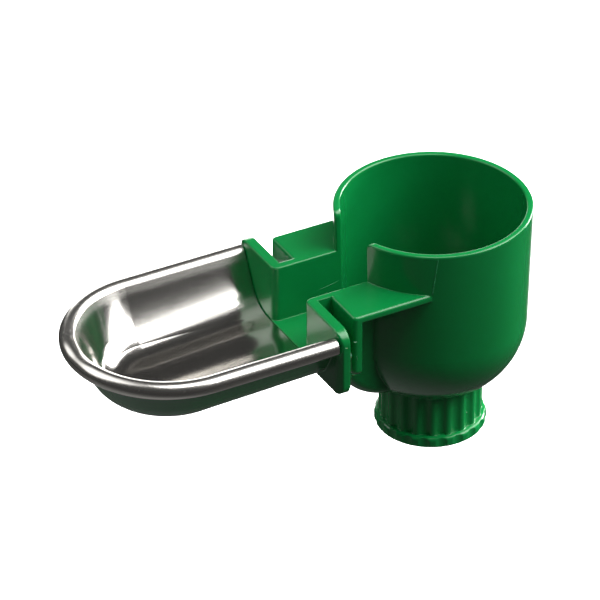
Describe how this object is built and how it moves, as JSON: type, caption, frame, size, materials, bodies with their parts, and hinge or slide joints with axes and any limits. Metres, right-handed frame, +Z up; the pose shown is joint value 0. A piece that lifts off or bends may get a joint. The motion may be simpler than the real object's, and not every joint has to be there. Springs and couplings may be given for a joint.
{
  "type": "rabbit drinker",
  "caption": "Cage-hung drinker: a round cup for an upturned bottle feeds a steel-lined trough through a notch and channel, with a fluted drain cap under the cup.",
  "frame": {"origin": "centre of the cup's mouth, in the plane of its rim", "axes": "+Z up out of the cup's mouth; the trough points along -X, through the cage wall; +Y across the trough"},
  "size_m": [0.1435, 0.0602, 0.073],
  "materials": {
    "body_plastic": "gloss",
    "liner_steel": "satin bright",
    "cap_plastic": "gloss",
    "washer_rubber": "matte"
  },
  "bodies": {
    "drinker": {"drinker_body": "body_plastic", "trough_liner": "liner_steel"},
    "washer": {"cap_washer": "washer_rubber"},
    "cap": {"screw_cap": "cap_plastic"}
  },
  "joints": [
    {"name": "cap_travel", "type": "slide", "parent": "drinker", "child": "washer", "axis": [0, 0, -1], "range_m": [0, 0.0091]},
    {"name": "cap_turn", "type": "hinge", "parent": "washer", "child": "cap", "pos_m": [0, 0, -0.065], "axis": [0, 0, -1], "range_deg": [0, 1080]}
  ],
  "couplings": [
    {"joint": "cap_travel", "follows": "cap_turn", "m_per_rad": 0.00047746}
  ]
}
